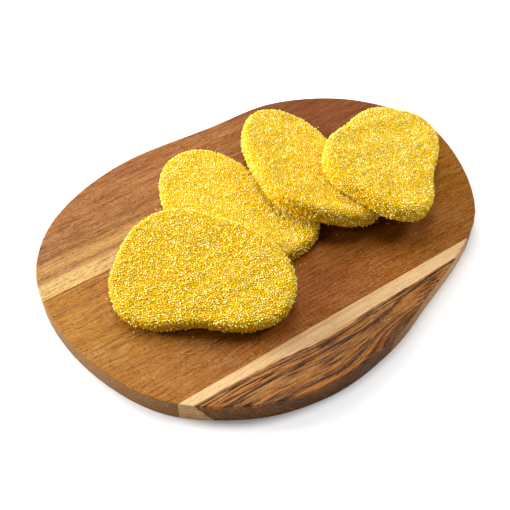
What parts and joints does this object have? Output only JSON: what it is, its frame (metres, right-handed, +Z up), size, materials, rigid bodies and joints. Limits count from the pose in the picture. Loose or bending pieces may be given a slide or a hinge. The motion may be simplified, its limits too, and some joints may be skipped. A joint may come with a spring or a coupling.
{
  "type": "breaded schnitzels on a serving board",
  "caption": "Crumb-coated, thick-rimmed schnitzel slices leaning on one another on a flat freehand-oval serving board glued from wooden staves.",
  "frame": {"origin": "centre of the board's box, on its underside, where the board stands", "axes": "+X along the wood grain, the board's longest side; +Z up, out of the board's top; +Y towards the board's back edge"},
  "size_m": [0.2992, 0.2216, 0.0483],
  "materials": {
    "dark_wood": "oiled, satin",
    "golden_wood": "oiled, satin",
    "reddish_wood": "oiled, satin",
    "crumb_coat": "dry yellow crumb coat, rough"
  },
  "bodies": {
    "root": {"board_front": "dark_wood", "board_middle": "golden_wood", "board_back": "reddish_wood", "schnitzel_flat": "crumb_coat", "schnitzel_front": "crumb_coat", "schnitzel_middle": "crumb_coat", "schnitzel_right": "crumb_coat"}
  },
  "joints": []
}
